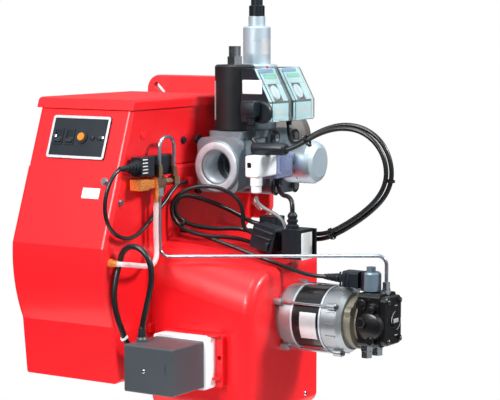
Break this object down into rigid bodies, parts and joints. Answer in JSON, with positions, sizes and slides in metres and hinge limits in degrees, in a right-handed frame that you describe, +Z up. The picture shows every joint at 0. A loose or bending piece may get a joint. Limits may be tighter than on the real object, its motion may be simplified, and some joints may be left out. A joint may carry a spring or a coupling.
{
  "type": "industrial gas burner",
  "caption": "Forced-draught dual-fuel burner: red hood and fan housing, flanged blast tube, gas valve train, motor-driven oil pump, damper servo and cable loops.",
  "frame": {"origin": "on the blast tube's axis, at the boiler-side face of the mounting flange", "axes": "+Y into the boiler along the blast tube, +Z up, +X towards the motor and the gas train"},
  "size_m": [0.639, 0.7318, 0.7053],
  "materials": {
    "red_paint": "gloss",
    "steel": "brushed",
    "ceramic": "glazed",
    "black_plastic": "satin",
    "amber_plastic": "gloss",
    "grey_plastic": "satin",
    "pale_plastic": "satin",
    "dark_grey_paint": "satin",
    "cast_aluminium": "cast, satin",
    "black_paint": "satin",
    "zinc_steel": "zinc plated",
    "khaki_casting": "passivated",
    "chrome": "polished",
    "brass": "turned",
    "silver_paint": "metallic satin",
    "clear_plastic": "clear moulded",
    "violet_clear": "tinted clear",
    "cable_rubber": "satin",
    "hose_plastic": "translucent, satin"
  },
  "bodies": {
    "root": {"mounting_flange": "red_paint", "blast_tube": "steel", "gas_head": "steel", "air_diffuser": "steel", "oil_nozzle_line": "steel", "ignition_electrodes": "ceramic", "main_body": "red_paint", "hood": "red_paint", "control_panel": "black_plastic", "ignition_transformer": "grey_plastic", "volute_housing": "red_paint", "inlet_grille": "black_plastic", "fan_inlet_ring": "steel", "servo_bracket": "red_paint", "servo_base": "pale_plastic", "servo_cover": "dark_grey_paint", "motor_front_bell": "cast_aluminium", "motor_rear_bell": "cast_aluminium", "motor_stator": "black_paint", "motor_tie_bolts": "zinc_steel", "pump_bracket": "khaki_casting", "pump_body": "black_paint", "pump_cover": "black_paint", "pump_coil": "black_plastic", "pump_fittings": "chrome", "oil_line": "zinc_steel", "brass_fittings": "brass", "oil_valve_coil": "black_plastic", "valve_body": "cast_aluminium", "gas_outlet_flange": "cast_aluminium", "hex_screws": "zinc_steel", "valve_coil_1": "black_plastic", "valve_coil_2": "silver_paint", "brake_cylinder": "silver_paint", "switch_boxes": "black_plastic", "switch_windows": "clear_plastic", "pressure_switch": "pale_plastic", "pressure_switch_cover": "violet_clear", "regulator_housing": "silver_paint", "connector_plugs": "black_plastic", "plug_boxes": "black_plastic", "cable_loop_a": "cable_rubber", "cable_loop_b": "cable_rubber", "cable_plug_lead": "cable_rubber", "cable_ring": "cable_rubber", "cable_pump": "cable_rubber", "cable_oil_valve": "cable_rubber", "cable_servo": "cable_rubber", "drain_hose": "hose_plastic"},
    "rotor": {"motor_shaft": "steel", "fan_wheel": "steel", "shaft_coupling": "black_plastic"},
    "damper": {"air_damper": "steel"},
    "adjuster": {"flow_adjuster": "zinc_steel"},
    "knob": {"brake_knob": "black_plastic"},
    "rocker_1": {"panel_switch_1": "black_plastic"},
    "rocker_2": {"panel_switch_2": "black_plastic"},
    "button": {"reset_button": "amber_plastic"},
    "dial_1": {"setting_dial_1": "pale_plastic"},
    "dial_2": {"setting_dial_2": "pale_plastic"}
  },
  "joints": [
    {"name": "rotor_spin", "type": "hinge", "parent": "root", "child": "rotor", "pos_m": [0.299, -0.203, -0.264], "axis": [1, 0, 0], "continuous": true},
    {"name": "damper_turn", "type": "hinge", "parent": "root", "child": "damper", "pos_m": [0.153, -0.22, -0.325], "axis": [0, 1, 0], "range_deg": [0, 90]},
    {"name": "adjuster_turn", "type": "hinge", "parent": "root", "child": "adjuster", "pos_m": [0.148, -0.145, 0.17], "axis": [0, 0, 1], "range_deg": [-180, 180]},
    {"name": "brake_knob_turn", "type": "hinge", "parent": "root", "child": "knob", "pos_m": [0.148, -0.073, 0.25], "axis": [0, 0, 1], "range_deg": [-270, 270]},
    {"name": "rocker_1_tip", "type": "hinge", "parent": "root", "child": "rocker_1", "pos_m": [-0.042, -0.39702, 0.037], "axis": [1, 0, 0], "range_deg": [0, 16]},
    {"name": "rocker_2_tip", "type": "hinge", "parent": "root", "child": "rocker_2", "pos_m": [-0.018, -0.39702, 0.037], "axis": [1, 0, 0], "range_deg": [0, 16]},
    {"name": "reset_press", "type": "slide", "parent": "root", "child": "button", "axis": [0, 0.9397, -0.342], "range_m": [0, 0.0025], "stiffness_N_per_m": 600},
    {"name": "dial_1_turn", "type": "hinge", "parent": "root", "child": "dial_1", "pos_m": [0.2251, -0.137, 0.10865], "axis": [0.8819, 0, 0.4714], "range_deg": [-135, 135]},
    {"name": "dial_2_turn", "type": "hinge", "parent": "root", "child": "dial_2", "pos_m": [0.2251, -0.06, 0.10865], "axis": [0.8819, 0, 0.4714], "range_deg": [-135, 135]}
  ]
}
